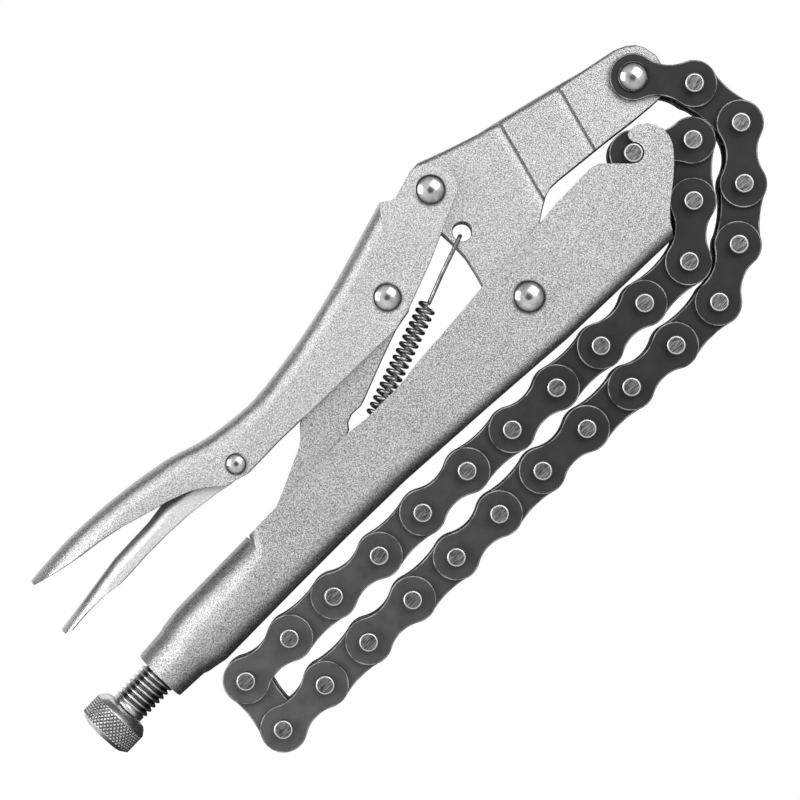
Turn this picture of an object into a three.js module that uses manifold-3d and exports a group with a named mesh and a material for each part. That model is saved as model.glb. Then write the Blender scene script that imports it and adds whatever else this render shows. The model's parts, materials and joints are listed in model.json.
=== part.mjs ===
// A locking chain clamp, lying on its side as it does on a bench: a sprung jaw arm and two
// handles stamped from sheet steel, with a roller chain that leaves the tip of the arm, runs
// back along the tool, turns round and is hooked by its last pin in the nose of the body.
// Lengths are millimetres. X runs along the adjusting screw towards the hook, Y from the
// body towards the handle, and Z is the thickness of the tool, up from what it lies on.
import * as THREE from "three";
import { mergeVertices } from "three/addons/utils/BufferGeometryUtils.js";
import Module from "manifold-3d";

const wasm = await Module();
wasm.setup();

// The size of the tool: body from its nose to the hook, and the depth from the chain to the handle.
const toolLength = 194;
const toolDepth = 62;

// Sheet and widths across the tool, along Z.
const hookSideClearance = 0.525;
const bodySheet = 3;
const handleSheet = 2.6;
const cheekSheet = 3;
const linkSheet = 2.5;
const leverSheet = 2;
const leverOuter = 7.2;
const sideClearance = 0.3;
const faceGap = 0.3;
const overrun = 30;

// The rounds of the folds, outside.
const bodyTubeFoldRound = 5.5;
const bodyNoseFoldRound = 3.6;
const bodyTubeRound = 8;
const handleFoldRound = 5;
const leverFoldRound = 3.5;

// The two bends across the arm, and the way the hook's slot opens.
const armBendDegrees = 74;
const armBendRun = 2.3;
const armBendSteepRun = 0.6;
const hookSlotDegrees = 134;

// The roller chain, in its standard sizes for a pitch of five eighths of an inch.
const chainPitch = 15.875;
const chainPlateSheet = 2.03;
const chainInnerGap = 9.53;
const chainPlateEnd = 12.4;
const chainOuterWaist = 8.2;
const chainInnerWaist = 10.4;
const chainPinDiameter = 5.09;
const chainPinLength = 25.8;
const chainRollerDiameter = 10.16;
const chainPlateGap = 0.15;
const chainBoreClearance = 0.3;

// Rivets: domed heads on a plain shank.
const bodyRivetHead = 9.1;
const handleRivetHead = 8.4;
const linkRivetHead = 8;
const leverRivetHead = 5.9;
const anchorRivetHead = 8.3;
const rivetShankShare = 0.6;
const rivetDomeShare = 0.24;

// The adjusting screw and its knob.
const screwDiameter = 10;
const screwPitch = 1.55;
const screwThreadDepth = 0.8;
const screwThreadTurns = 8;
const screwTipTaper = 1.5;
const threadClearance = 0.3;
const collarDiameter = 9.4;
const collarLength = 1.6;
const knobDiameter = 16;
const knobLength = 9;
const knobChamfer = 1.2;

// The spring that pulls the arm open.
const springCoilDiameter = 5.2;
const springWire = 1.1;
const springCurlPitch = 1.95;
const springHoleDiameter = 5.2;
const springTabWidth = 3.2;
const springTabSheet = 2;
const springCurls = 17;

// The heights at which the flat pieces lie, measured from the middle plane of the tool.
const innerPlateLow = chainInnerGap / 2;
const innerPlateHigh = innerPlateLow + chainPlateSheet;
const outerPlateLow = innerPlateHigh + chainPlateGap;
const outerPlateHigh = outerPlateLow + chainPlateSheet;
const bodyInner = outerPlateHigh + hookSideClearance;
const bodyOuter = bodyInner + bodySheet;
const handleOuter = bodyInner + handleSheet;
const cheekOuter = bodyInner - sideClearance;
const cheekInner = cheekOuter - cheekSheet;
const linkInner = cheekOuter - linkSheet;
const cheekTipOuter = outerPlateLow - sideClearance;
const footRadius = 5;

// A place on the tool, from its shares of the length and the depth.
const at = ([xShare, yShare]) =>
  new THREE.Vector2(xShare * toolLength, yShare * toolDepth);
const outline = (shares) => shares.map(at);

// Pivots, as shares of the tool's length and depth.
const armPivot = at([0.713, -0.0113]);
const handlePivot = at([0.7242, 0.5968]);
const linkPivot = at([0.5804, 0.4145]);
const leverPivot = at([0.2789, 0.3855]);
const linkEnd = at([0.2546, 0]);
const chainAnchor = at([1.0232, 0.3161]);
const springHole = at([0.7139, 0.3806]);

// Each link's direction in degrees, from the anchor on the arm round to the hook.
const linkHeadings = [
  -52.5, -86.3, -132.9, -141, -154.8, -180.9, 177.1, 177.1, 177.6, 179, 179.1, 178.3, 177.8,
  178.6, 180.8, 81.8, -1.5, -2.5, -4.1, -1.4, -2.7, -3.6, -2.6, -2.5, -1.7, -3, 39.9, 44.7, 146.6,
];
const linkStarts = [chainAnchor];
for (const heading of linkHeadings) {
  const last = linkStarts[linkStarts.length - 1];
  const turn = THREE.MathUtils.degToRad(heading);
  linkStarts.push(
    new THREE.Vector2(
      last.x + chainPitch * Math.cos(turn),
      last.y + chainPitch * Math.sin(turn),
    ),
  );
}
const hookPin = linkStarts[linkStarts.length - 1];
const chainPinTop = chainPinLength / 2;

const roundSides = 14;
const rollerSides = 10;
const pinSides = 8;
const knobSides = 24;
const wireSides = 5;
const cornerSteps = 3;
const domeSteps = 3;
const curlSteps = 8;
const handleSections = 33;
const plateEndSteps = 6;
const plateFlankSteps = 3;

// Solids: a three.js geometry becomes a manifold and back.
function solid(geometry) {
  const bare = geometry.index ? geometry.toNonIndexed() : geometry.clone();
  bare.deleteAttribute("normal");
  bare.deleteAttribute("uv");
  const merged = mergeVertices(bare, 1e-4);
  return new wasm.Manifold(
    new wasm.Mesh({
      numProp: 3,
      vertProperties: new Float32Array(merged.attributes.position.array),
      triVerts: new Uint32Array(merged.index.array),
    }),
  );
}

function geometryOf(body) {
  const mesh = body.getMesh();
  return new THREE.BufferGeometry()
    .setAttribute("position", new THREE.BufferAttribute(mesh.vertProperties, 3))
    .setIndex(new THREE.BufferAttribute(mesh.triVerts, 1));
}

const join = (...bodies) => bodies.reduce((all, body) => all.add(body));
const cut = (body, ...tools) =>
  tools.reduce((rest, tool) => rest.subtract(tool), body);

// A flat piece: an outline carried from one height to another.
function plate(points, low, high) {
  const geometry = new THREE.ExtrudeGeometry(new THREE.Shape(points), {
    depth: high - low,
    bevelEnabled: false,
    curveSegments: roundSides,
  });
  return solid(geometry.translate(0, 0, low));
}

// A pair of like pieces, one on each side of the middle plane.
const bothSides = (points, low, high) =>
  join(plate(points, low, high), plate(points, -high, -low));

// A round bar along Z.
function bar(centre, radius, low, high, sides = roundSides) {
  const profile = [
    new THREE.Vector2(0, low),
    new THREE.Vector2(radius, low),
    new THREE.Vector2(radius, high),
    new THREE.Vector2(0, high),
  ];
  const geometry = new THREE.LatheGeometry(profile, sides);
  return solid(geometry.rotateX(Math.PI / 2).translate(centre.x, centre.y, 0));
}

// A piece turned about the screw's axis, from a profile of distances along it and radii.
function turned(profile, sides = roundSides) {
  const geometry = new THREE.LatheGeometry(
    profile.map(([along, radius]) => new THREE.Vector2(radius, along)),
    sides,
  );
  return solid(geometry.rotateZ(-Math.PI / 2));
}

// A section across the X axis: a box with its own round on the low and the high corners.
function section(low, high, halfWidth, lowRound, highRound) {
  const half = (high - low) / 2;
  const points = [];
  const corner = (y, z, radius, start) => {
    for (let k = 0; k <= cornerSteps; k++) {
      const turn = start + (k / cornerSteps) * (Math.PI / 2);
      points.push([y + radius * Math.cos(turn), z + radius * Math.sin(turn)]);
    }
  };
  const lowRadius = Math.min(lowRound, half, halfWidth);
  const highRadius = Math.min(highRound, half, halfWidth);
  corner(high - highRadius, halfWidth - highRadius, highRadius, 0);
  corner(low + lowRadius, halfWidth - lowRadius, lowRadius, Math.PI / 2);
  corner(low + lowRadius, lowRadius - halfWidth, lowRadius, Math.PI);
  corner(high - highRadius, highRadius - halfWidth, highRadius, 1.5 * Math.PI);
  return points;
}

// A body carried through sections at stations along X.
function loft(stations) {
  const rings = stations.map(({ x, points }) =>
    points.map(([y, z]) => new THREE.Vector3(x, y, z)),
  );
  const corners = [];
  const count = rings[0].length;
  const middle = (ring) =>
    ring.reduce((sum, p) => sum.add(p), new THREE.Vector3()).divideScalar(count);
  for (let r = 1; r < rings.length; r++)
    for (let k = 0; k < count; k++) {
      const next = (k + 1) % count;
      const [a, b] = [rings[r - 1][k], rings[r - 1][next]];
      const [c, d] = [rings[r][k], rings[r][next]];
      corners.push(a, c, b, b, c, d);
    }
  const [first, last] = [rings[0], rings[rings.length - 1]];
  for (let k = 0; k < count; k++) {
    const next = (k + 1) % count;
    corners.push(middle(first), first[k], first[next]);
    corners.push(middle(last), last[next], last[k]);
  }
  const geometry = new THREE.BufferGeometry().setFromPoints(corners);
  const body = solid(geometry);
  if (body.volume() > 0) return body;
  for (let k = 0; k < corners.length; k += 3)
    [corners[k + 1], corners[k + 2]] = [corners[k + 2], corners[k + 1]];
  return solid(new THREE.BufferGeometry().setFromPoints(corners));
}

const fromCentre = (centre, radius, turn) =>
  new THREE.Vector2(
    centre.x + radius * Math.cos(turn),
    centre.y + radius * Math.sin(turn),
  );

// A round wire along a path of points, closed at both ends.
function tube(path, radius, sides) {
  const corners = [];
  const rings = [];
  let normal = new THREE.Vector3(1, 0, 0);
  path.forEach((point, k) => {
    const before = path[Math.max(k - 1, 0)];
    const after = path[Math.min(k + 1, path.length - 1)];
    const along = after.clone().sub(before).normalize();
    normal = normal.clone().addScaledVector(along, -normal.dot(along)).normalize();
    const across = new THREE.Vector3().crossVectors(along, normal);
    const ring = [];
    for (let s = 0; s < sides; s++) {
      const turn = (s / sides) * 2 * Math.PI;
      ring.push(
        point
          .clone()
          .addScaledVector(normal, radius * Math.cos(turn))
          .addScaledVector(across, radius * Math.sin(turn)),
      );
    }
    rings.push(ring);
  });
  for (let k = 1; k < rings.length; k++)
    for (let s = 0; s < sides; s++) {
      const next = (s + 1) % sides;
      const [a, b] = [rings[k - 1][s], rings[k - 1][next]];
      const [c, d] = [rings[k][s], rings[k][next]];
      corners.push(a, b, c, b, d, c);
    }
  const [first, last] = [rings[0], rings[rings.length - 1]];
  for (let s = 1; s < sides - 1; s++) {
    corners.push(first[0], first[s + 1], first[s]);
    corners.push(last[0], last[s], last[s + 1]);
  }
  return solid(new THREE.BufferGeometry().setFromPoints(corners));
}

// The least gap between stretches of the wire that are more than half a curl apart.
function leastGap(path) {
  let least = Infinity;
  for (let i = 0; i < path.length; i++)
    for (let j = i + curlSteps / 2 + 1; j < path.length; j++)
      least = Math.min(least, path[i].distanceTo(path[j]));
  return least - springWire;
}

const group = new THREE.Group();
function addPiece(name, body, material) {
  const piece = new THREE.Mesh(geometryOf(body), material);
  piece.name = name;
  group.add(piece);
}

const satinSteel = new THREE.MeshStandardMaterial({
  color: 0xb9babb,
  roughness: 0.5,
  metalness: 0.9,
});
const brightSteel = new THREE.MeshStandardMaterial({
  color: 0xd6d7d9,
  roughness: 0.22,
  metalness: 1,
});
const blackSteel = new THREE.MeshStandardMaterial({
  color: 0x45464a,
  roughness: 0.45,
  metalness: 0.7,
});
const springSteel = new THREE.MeshStandardMaterial({
  color: 0x55565a,
  roughness: 0.3,
  metalness: 0.9,
});

// The body: one sheet folded to a channel round the linkage and closed to a tube for the screw.
const bodyMouthShare = 0.215;
// Stations along it: shares of the length, of the depth for its two edges, and of the width.
const bodyStationShares = [
  [0, -0.121, 0.118, 0.62],
  [0.044, -0.129, 0.126, 0.66],
  [0.05, -0.137, 0.132, 0.69],
  [0.08, -0.156, 0.143, 0.78],
  [0.16, -0.157, 0.142, 0.97],
  [bodyMouthShare, -0.158, 0.141, 1],
  [0.31, -0.163, 0.148, 1],
  [0.42, -0.175, 0.15, 1],
  [0.57, -0.211, 0.16, 1],
  [0.71, -0.25, 0.16, 1],
  [0.93, -0.281, 0.18, 1],
];
const bodyTubeShare = 0.3;
const bodyCavityShare = 0.16;
const bodyNoseShare = 0.5;
const bodyHookShare = 0.73;
// The side view in front of the tube, from the lower corner round the hook and back.
const bodySideShares = [
  [0.9043, -0.2814], [0.9093, -0.2523], [0.9168, -0.2163], [0.93, -0.1746], [0.9461, -0.1364],
  [0.9632, -0.0953], [0.9764, -0.0595], [0.9867, -0.0266], [0.9937, 0.002], [0.9982, 0.0355],
  [0.9994, 0.074], [0.9966, 0.1064], [0.9907, 0.1352], [0.9825, 0.157], [0.9729, 0.1688],
  [0.9652, 0.1695], [0.9607, 0.1629], [0.9586, 0.1488], [0.9591, 0.1272], [0.958, 0.128],
  [0.927, 0.098], [0.9384, 0.0646], [0.9334, 0.0901], [0.9257, 0.1192], [0.9167, 0.1446],
  [0.9075, 0.1635], [0.8993, 0.1734], [0.8906, 0.1792], [0.874, 0.1786], [0.8546, 0.1782],
  [0.8276, 0.1782], [0.7971, 0.1722], [0.7627, 0.1625], [0.683, 0.16], [0.61, 0.144],
  [0.545, 0.135], [0.512, 0.121], [0.446, 0.124], [0.412, 0.139], [0.353, 0.139], [0.3, 0.14],
  [bodyMouthShare, 0.139],
];

const shank = (head) => (head / 2) * rivetShankShare;
const hole = (centre, radius) => bar(centre, radius + faceGap, -overrun, overrun);

const foldRound = (xShare) =>
  xShare > bodyNoseShare ? bodyNoseFoldRound : bodyTubeFoldRound;

function bodyLoft(inset) {
  return bodyStationShares.map(([xShare, lowShare, highShare, widthShare]) => ({
    x: xShare * toolLength,
    points: section(
      lowShare * toolDepth + inset,
      xShare > bodyTubeShare ? overrun : highShare * toolDepth - inset,
      widthShare * bodyOuter - inset,
      Math.max(foldRound(xShare) - inset, faceGap),
      xShare > bodyTubeShare ? faceGap : bodyTubeRound - inset,
    ),
  }));
}

function hookSlot() {
  const radius = chainPinDiameter / 2 + chainBoreClearance;
  const mouth = THREE.MathUtils.degToRad(hookSlotDegrees);
  const steps = roundSides / 2;
  const points = [];
  for (let k = 0; k <= steps; k++) {
    const turn = mouth + Math.PI / 2 + (k / steps) * Math.PI;
    points.push(fromCentre(hookPin, radius, turn));
  }
  points.push(fromCentre(points[steps], chainPlateEnd, mouth));
  points.push(fromCentre(points[0], chainPlateEnd, mouth));
  return plate(points, -overrun, overrun);
}

function buildBody() {
  const side = outline(bodySideShares);
  const [lowerCorner] = side;
  const mask = [
    ...side,
    new THREE.Vector2(bodyMouthShare * toolLength, overrun),
    new THREE.Vector2(-overrun, overrun),
    new THREE.Vector2(-overrun, -overrun),
    new THREE.Vector2(lowerCorner.x, -overrun),
  ];
  const cavity = bodyLoft(bodySheet).filter(
    ({ x }) => x >= bodyCavityShare * toolLength,
  );
  const last = cavity[cavity.length - 1];
  cavity.push({ x: last.x + overrun, points: last.points });
  const mouth = [
    new THREE.Vector2(bodyMouthShare * toolLength, 0),
    new THREE.Vector2(toolLength + overrun, 0),
    new THREE.Vector2(toolLength + overrun, overrun),
    new THREE.Vector2(bodyMouthShare * toolLength, overrun),
  ];
  const shell = cut(
    loft(bodyLoft(0)).intersect(plate(mask, -bodyOuter, bodyOuter)),
    loft(cavity),
    plate(mouth, -bodyInner, bodyInner),
  );
  const hook = side.filter(({ x }) => x > bodyHookShare * toolLength);
  hook[0] = new THREE.Vector2(hook[1].x, hook[2].y);
  const bore = screwDiameter / 2 + threadClearance;
  return cut(
    join(shell, bothSides(hook, bodyInner, bodyOuter), springTab()),
    turned([[-overrun, 0], [-overrun, bore], [linkEnd.x, bore], [linkEnd.x, 0]]),
    hookSlot(),
    hole(armPivot, shank(bodyRivetHead)),
  );
}

// The lanced tab in the body that holds the lower end of the spring.
const springCoilTop = at([0.612, 0.271]);
const springCoilFoot = at([0.4825, 0.137]);
const springDirection = springCoilFoot.sub(springCoilTop).normalize();
const springHeight = bodyInner - 2 * faceGap - springCoilDiameter / 2;
const springCoilLength = springCurls * springCurlPitch;
const springEnd = springCoilTop
  .clone()
  .addScaledVector(springDirection, springCoilLength + 2 * springWire);

function springTab() {
  const near = springEnd.clone().addScaledVector(springDirection, faceGap);
  const far = near.clone().addScaledVector(springDirection, springTabSheet);
  const across = new THREE.Vector2(-springDirection.y, springDirection.x);
  const rise = springCoilDiameter / 2;
  const points = [
    near.clone().addScaledVector(across, -rise),
    near.clone().addScaledVector(across, overrun),
    far.clone().addScaledVector(across, overrun),
    far.clone().addScaledVector(across, -rise),
  ];
  const half = springTabWidth / 2;
  return plate(points, springHeight - half, springHeight + half).intersect(
    loft(bodyLoft(0)),
  );
}

// The arm: one sheet folded along its top edge, its two cheeks set inwards at two bends so
// that the tip enters the first link of the chain.
const armShares = [
  [0.692, 0.613], [0.701, 0.685], [0.7216, 0.7145], [0.7392, 0.716], [0.7732, 0.674],
  [0.8216, 0.621], [0.8634, 0.59], [0.9325, 0.532], [0.9814, 0.489], [1.032, 0.453],
  [1.0469, 0.431], [1.0567, 0.406], [1.0634, 0.369], [1.0665, 0.311], [1.0629, 0.268],
  [1.051, 0.211], [1.0294, 0.1726], [1.0139, 0.1758], [0.984, 0.1855], [0.9392, 0.2065],
  [0.8938, 0.2242], [0.8577, 0.2387], [0.8407, 0.2419], [0.8278, 0.2323], [0.8113, 0.205],
  [0.7959, 0.174], [0.773, 0.065], [0.7603, -0.0484], [0.7423, -0.129], [0.713, -0.161],
  [0.683, -0.129], [0.6675, -0.0323], [0.67, 0.0645], [0.681, 0.16], [0.6871, 0.2242],
  [0.6923, 0.2952], [0.6938, 0.3774], [0.6933, 0.4371], [0.69, 0.53],
];
const armFoldShares = [
  [0.7732, 0.674], [0.8216, 0.621], [0.8634, 0.59], [0.9325, 0.532], [0.9814, 0.489],
  [1.032, 0.453], [1.0469, 0.431], [1.034, 0.397], [0.9814, 0.432], [0.9325, 0.475],
  [0.8634, 0.533], [0.8216, 0.564], [0.7732, 0.617],
];
const armFirstBend = at([0.838, 0.4226]);
const armSecondBend = at([0.9303, 0.3728]);

// How far along its run, and how far down its drop, a bend's soft shoulder has come.
const armShoulderShares = [[0, 0], [0.5, 0.1], [1, 0.4]];

// A bend seen along its line: a soft shoulder, then a short steep drop.
function armBend(place, top, drop) {
  const shoulder = armShoulderShares.map(([along, down]) => [
    place + (along - 1) * armBendRun,
    top - down * drop,
  ]);
  return [...shoulder, [place + armBendSteepRun, top - drop]];
}

// One cheek seen along the bends: its outer and inner face step in at each bend.
function armCheek(side) {
  const turn = THREE.MathUtils.degToRad(armBendDegrees);
  const along = new THREE.Vector2(Math.sin(turn), -Math.cos(turn));
  const start = armFirstBend.dot(along);
  const second = armSecondBend.dot(along);
  const drop = (cheekOuter - cheekTipOuter) / 2;
  const outer = [
    [start - toolLength, cheekOuter],
    ...armBend(start, cheekOuter, drop),
    ...armBend(second, cheekOuter - drop, drop),
    [second + toolLength, cheekTipOuter],
  ];
  const inner = outer.map(([u, z]) => [u, z - cheekSheet]).reverse();
  const points = [...outer, ...inner].map(
    ([u, z]) => new THREE.Vector2(u, side * z),
  );
  const geometry = new THREE.ExtrudeGeometry(new THREE.Shape(points), {
    depth: toolLength,
    bevelEnabled: false,
  });
  const across = new THREE.Vector3(Math.cos(turn), Math.sin(turn), 0);
  const matrix = new THREE.Matrix4().makeBasis(
    new THREE.Vector3(along.x, along.y, 0),
    new THREE.Vector3(0, 0, 1),
    new THREE.Vector3(along.x, along.y, 0).cross(new THREE.Vector3(0, 0, 1)),
  );
  geometry.applyMatrix4(matrix);
  const back = across.multiplyScalar(toolLength / 2);
  return solid(geometry.translate(back.x, back.y, 0));
}

function buildArm() {
  const view = plate(outline(armShares), -cheekOuter, cheekOuter);
  const cheeks = join(armCheek(1), armCheek(-1)).intersect(view);
  const fold = plate(outline(armFoldShares), -cheekTipOuter, cheekTipOuter);
  return cut(
    join(cheeks, fold),
    hole(armPivot, shank(bodyRivetHead)),
    hole(handlePivot, shank(handleRivetHead)),
    hole(chainAnchor, shank(anchorRivetHead)),
    bar(springHole, springHoleDiameter / 2, -overrun, overrun),
  );
}

// The handle: a channel open towards the body, with two lugs that carry the arm.
// Stations: shares of the length, of the depth for its back, and of its width.
const handleStationShares = [
  [-0.0289, 0.668, 0.55],
  [0, 0.674, 0.66],
  [0.055, 0.676, 0.76],
  [0.12, 0.661, 0.84],
  [0.214, 0.613, 0.92],
  [0.272, 0.555, 0.98],
  [0.315, 0.531, 1],
  [0.357, 0.521, 1],
  [0.437, 0.547, 1],
  [0.515, 0.592, 1],
  [0.621, 0.679, 1],
  [0.664, 0.716, 1],
];
const handleLowShare = 0.2;
const handleLugShares = [
  [0.664, 0.716], [0.6773, 0.6855], [0.6856, 0.6806], [0.7124, 0.7048], [0.733, 0.708],
  [0.751, 0.6774], [0.7613, 0.61], [0.758, 0.545], [0.7495, 0.5145], [0.6943, 0.4419],
  [0.6572, 0.3935], [0.6113, 0.3419], [0.5871, 0.3161], [0.5588, 0.2968],
];
// The side view, well above the back, which the stations give.
const handleSideShares = [
  [-0.0289, 0.668], [-0.0289, 0.76], [0.63, 0.76], ...handleLugShares, [0.484, 0.3048], [0.401, 0.3145], [0.3768, 0.321], [0.3366, 0.3258], [0.2784, 0.3242],
  [0.2639, 0.3371], [0.2474, 0.3548], [0.2309, 0.4032], [0.2103, 0.4452], [0.1804, 0.4823],
  [0.1407, 0.5194], [0.1046, 0.5548], [0.068, 0.579], [0.0371, 0.5935], [0.0062, 0.6145],
  [-0.0314, 0.6468],
];

function handleLoft(inset) {
  const stations = handleStationShares.map((shares) => new THREE.Vector3(...shares));
  const curve = new THREE.CatmullRomCurve3(stations, false, "centripetal");
  const shares = curve.getPoints(handleSections).map((point) => point.toArray());
  return shares.map(([xShare, backShare, widthShare]) => ({
    x: xShare * toolLength,
    points: section(
      handleLowShare * toolDepth - inset,
      backShare * toolDepth - inset,
      widthShare * handleOuter - inset,
      faceGap,
      handleFoldRound - inset,
    ),
  }));
}

function buildHandle() {
  const side = outline(handleSideShares);
  const channel = loft(handleLoft(0)).intersect(
    plate(side, -handleOuter, handleOuter),
  );
  const lugs = bothSides(outline(handleLugShares), bodyInner, handleOuter);
  const inside = handleLoft(handleSheet);
  const last = inside[inside.length - 1];
  inside.push({ x: last.x + overrun, points: last.points });
  return cut(
    join(channel, lugs),
    loft(inside),
    hole(handlePivot, shank(handleRivetHead)),
    hole(linkPivot, shank(linkRivetHead)),
    hole(leverPivot, shank(leverRivetHead)),
  );
}

// The toggle link: two cheeks from the handle down to a solid foot that bears on the screw.
const linkShares = [
  [0.5588, 0.2968], [0.5144, 0.25], [0.4598, 0.187], [0.4495, 0.179], [0.4335, 0.182],
  [0.4222, 0.169], [0.416, 0.145], [0.3608, 0.068], [0.3144, 0.0145], [0.2809, -0.04],
  [0.268, -0.0694], [0.2546, -0.0806], [0.2371, -0.0613], [0.2299, -0.0226],
  [0.2289, 0.0194], [0.2402, 0.0677], [0.2526, 0.0806], [0.2696, 0.132], [0.2964, 0.166],
  [0.3201, 0.1984], [0.3552, 0.2468], [0.3655, 0.2726], [0.3768, 0.3113], [0.402, 0.347],
  [0.4897, 0.4355], [0.5464, 0.5], [0.5773, 0.521], [0.6031, 0.495], [0.6149, 0.4274],
  [0.6082, 0.3548], [0.5876, 0.3113],
];
const linkFootShare = 0.3;

function buildToggleLink() {
  const side = outline(linkShares);
  const footEnd = linkFootShare * toolLength;
  const foot = plate(side, -linkInner - faceGap, linkInner + faceGap).intersect(
    plate(
      [
        new THREE.Vector2(-overrun, -overrun),
        new THREE.Vector2(footEnd, -overrun),
        new THREE.Vector2(footEnd, overrun),
        new THREE.Vector2(-overrun, overrun),
      ],
      -bodyInner,
      bodyInner,
    ),
  );
  return cut(
    join(bothSides(side, linkInner, cheekOuter), foot),
    hole(linkPivot, shank(linkRivetHead)),
  );
}

// The release lever: a narrower channel nested in the handle.
const leverStationShares = [
  [-0.0474, 0.4339, 0.7],
  [0.0067, 0.4532, 0.9],
  [0.0397, 0.4661, 1],
  [0.0727, 0.479, 1],
  [0.1381, 0.4823, 1],
  [0.167, 0.4935, 1],
  [0.2268, 0.484, 1],
  [0.2887, 0.46, 1],
  [0.345, 0.427, 1],
];
const leverSideShares = [
  [-0.0474, 0.4339], [0.0067, 0.4532], [0.0397, 0.4661], [0.0727, 0.479], [0.1057, 0.4823],
  [0.1381, 0.4823], [0.167, 0.4935], [0.2268, 0.484], [0.2887, 0.46], [0.345, 0.427],
  [0.345, 0.371], [0.3196, 0.347], [0.2887, 0.337], [0.268, 0.3371], [0.2474, 0.3484],
  [0.2263, 0.3629], [0.182, 0.3839], [0.1397, 0.3919], [0.1021, 0.3935], [0.0619, 0.3887],
  [0.0495, 0.3887], [0.0222, 0.4032], [-0.0062, 0.4048], [-0.0397, 0.3984],
  [-0.0469, 0.4065],
];

function leverLoft(inset) {
  return leverStationShares.map(([xShare, backShare, widthShare]) => ({
    x: xShare * toolLength,
    points: section(
      handleLowShare * toolDepth - inset,
      backShare * toolDepth - inset,
      widthShare * leverOuter - inset,
      faceGap,
      leverFoldRound - inset,
    ),
  }));
}

function buildLever() {
  const side = outline(leverSideShares);
  const inside = leverLoft(leverSheet);
  const last = inside[inside.length - 1];
  inside.push({ x: last.x + overrun, points: last.points });
  return cut(
    loft(leverLoft(0)).intersect(plate(side, -leverOuter, leverOuter)),
    loft(inside),
    hole(leverPivot, shank(leverRivetHead)),
  );
}

// A rivet: a shank through both sides with a dome on each outer face.
function buildRivet(centre, head, seat) {
  const radius = head / 2;
  const rise = head * rivetDomeShare;
  const under = seat + faceGap;
  const profile = [[0, -under - rise]];
  const dome = [];
  for (let k = 1; k <= domeSteps; k++) {
    const turn = (k / domeSteps) * (Math.PI / 2);
    dome.push([radius * Math.sin(turn), under + rise * Math.cos(turn)]);
  }
  for (const [r, z] of dome) profile.push([r, -z]);
  profile.push([shank(head), -under], [shank(head), under]);
  for (const [r, z] of dome.reverse()) profile.push([r, z]);
  profile.push([0, under + rise]);
  const geometry = new THREE.LatheGeometry(
    profile.map(([r, z]) => new THREE.Vector2(r, z)),
    roundSides,
  );
  return solid(geometry.rotateX(Math.PI / 2).translate(centre.x, centre.y, 0));
}

// The adjusting screw: thread from under the knob to its point, which bears on the link's foot.
const screwPoint = linkEnd.x - footRadius - faceGap;
const threadStart = -screwPitch * (screwThreadTurns - 1);
const knobFace = threadStart - collarLength;

function buildScrew() {
  const radius = screwDiameter / 2;
  const root = radius - screwThreadDepth;
  const profile = [
    [knobFace, 0],
    [knobFace, collarDiameter / 2],
    [threadStart, collarDiameter / 2],
    [threadStart, root],
  ];
  for (let turn = 0; turn < screwThreadTurns; turn++) {
    const from = threadStart + turn * screwPitch;
    profile.push([from + screwPitch / 2, radius], [from + screwPitch, root]);
  }
  profile.push(
    [screwPoint - screwTipTaper, root],
    [screwPoint, root - screwTipTaper],
    [screwPoint, 0],
  );
  return turned(profile);
}

function buildKnob() {
  const radius = knobDiameter / 2;
  const face = knobFace - faceGap;
  const back = face - knobLength;
  return turned(
    [
      [back, 0],
      [back, radius - 2 * knobChamfer],
      [back + knobChamfer, radius],
      [face - knobChamfer, radius],
      [face, radius - knobChamfer],
      [face, 0],
    ],
    knobSides,
  );
}

// The spring: one wire, hooked through the arm's hole, laid over the cheek, wound down into
// the body and run straight to the tab there.
function buildSpring() {
  const wireRadius = springWire / 2;
  const coilRadius = springCoilDiameter / 2 - wireRadius;
  const axis = new THREE.Vector3(springDirection.x, springDirection.y, 0);
  const up = new THREE.Vector3(0, 0, 1);
  const side = new THREE.Vector3().crossVectors(axis, up);
  const over = cheekOuter + faceGap + wireRadius;
  const hook = springHole.clone().addScaledVector(springDirection, springHoleDiameter / 4);
  const leave = hook.clone().addScaledVector(springDirection, springHoleDiameter);
  const path = [
    new THREE.Vector3(hook.x, hook.y, cheekInner),
    new THREE.Vector3(hook.x, hook.y, cheekInner + springWire),
    new THREE.Vector3(hook.x, hook.y, over - wireRadius),
    new THREE.Vector3(hook.x, hook.y, over).addScaledVector(axis, wireRadius),
    new THREE.Vector3(leave.x, leave.y, over),
  ];
  const top = new THREE.Vector3(springCoilTop.x, springCoilTop.y, springHeight);
  for (let k = 0; k <= springCurls * curlSteps; k++) {
    const turn = (k / curlSteps) * 2 * Math.PI;
    path.push(
      top
        .clone()
        .addScaledVector(axis, (k / curlSteps) * springCurlPitch)
        .addScaledVector(up, coilRadius * Math.cos(turn))
        .addScaledVector(side, coilRadius * Math.sin(turn)),
    );
  }
  const end = new THREE.Vector3(springEnd.x, springEnd.y, springHeight);
  path.push(end.clone().addScaledVector(axis, -springWire), end);
  return { body: tube(path, wireRadius, wireSides), path };
}

// A dumbbell plate of the chain: two round ends joined by hollow flanks, from one pin to the next.
function chainPlate(low, high, waist) {
  const radius = chainPlateEnd / 2;
  const half = waist / 2;
  const reach = chainPitch / 2;
  const flank =
    (reach ** 2 + half ** 2 - radius ** 2) / (2 * (radius - half));
  const open = Math.atan2(half + flank, reach);
  const points = [];
  for (let k = 0; k <= plateEndSteps; k++) {
    const turn = open + (k / plateEndSteps) * 2 * (Math.PI - open);
    points.push(fromCentre(new THREE.Vector2(), radius, turn));
  }
  const lower = new THREE.Vector2(reach, -half - flank);
  const spread = Math.PI / 2 - open;
  for (let k = 1; k < plateFlankSteps; k++) {
    const turn = Math.PI / 2 + spread * (1 - (2 * k) / plateFlankSteps);
    points.push(fromCentre(lower, flank, turn));
  }
  const centre = new THREE.Vector2(reach, 0);
  const turned = points.map((p) => p.clone().sub(centre).negate().add(centre));
  return plate([...points, ...turned], low, high);
}

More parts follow.
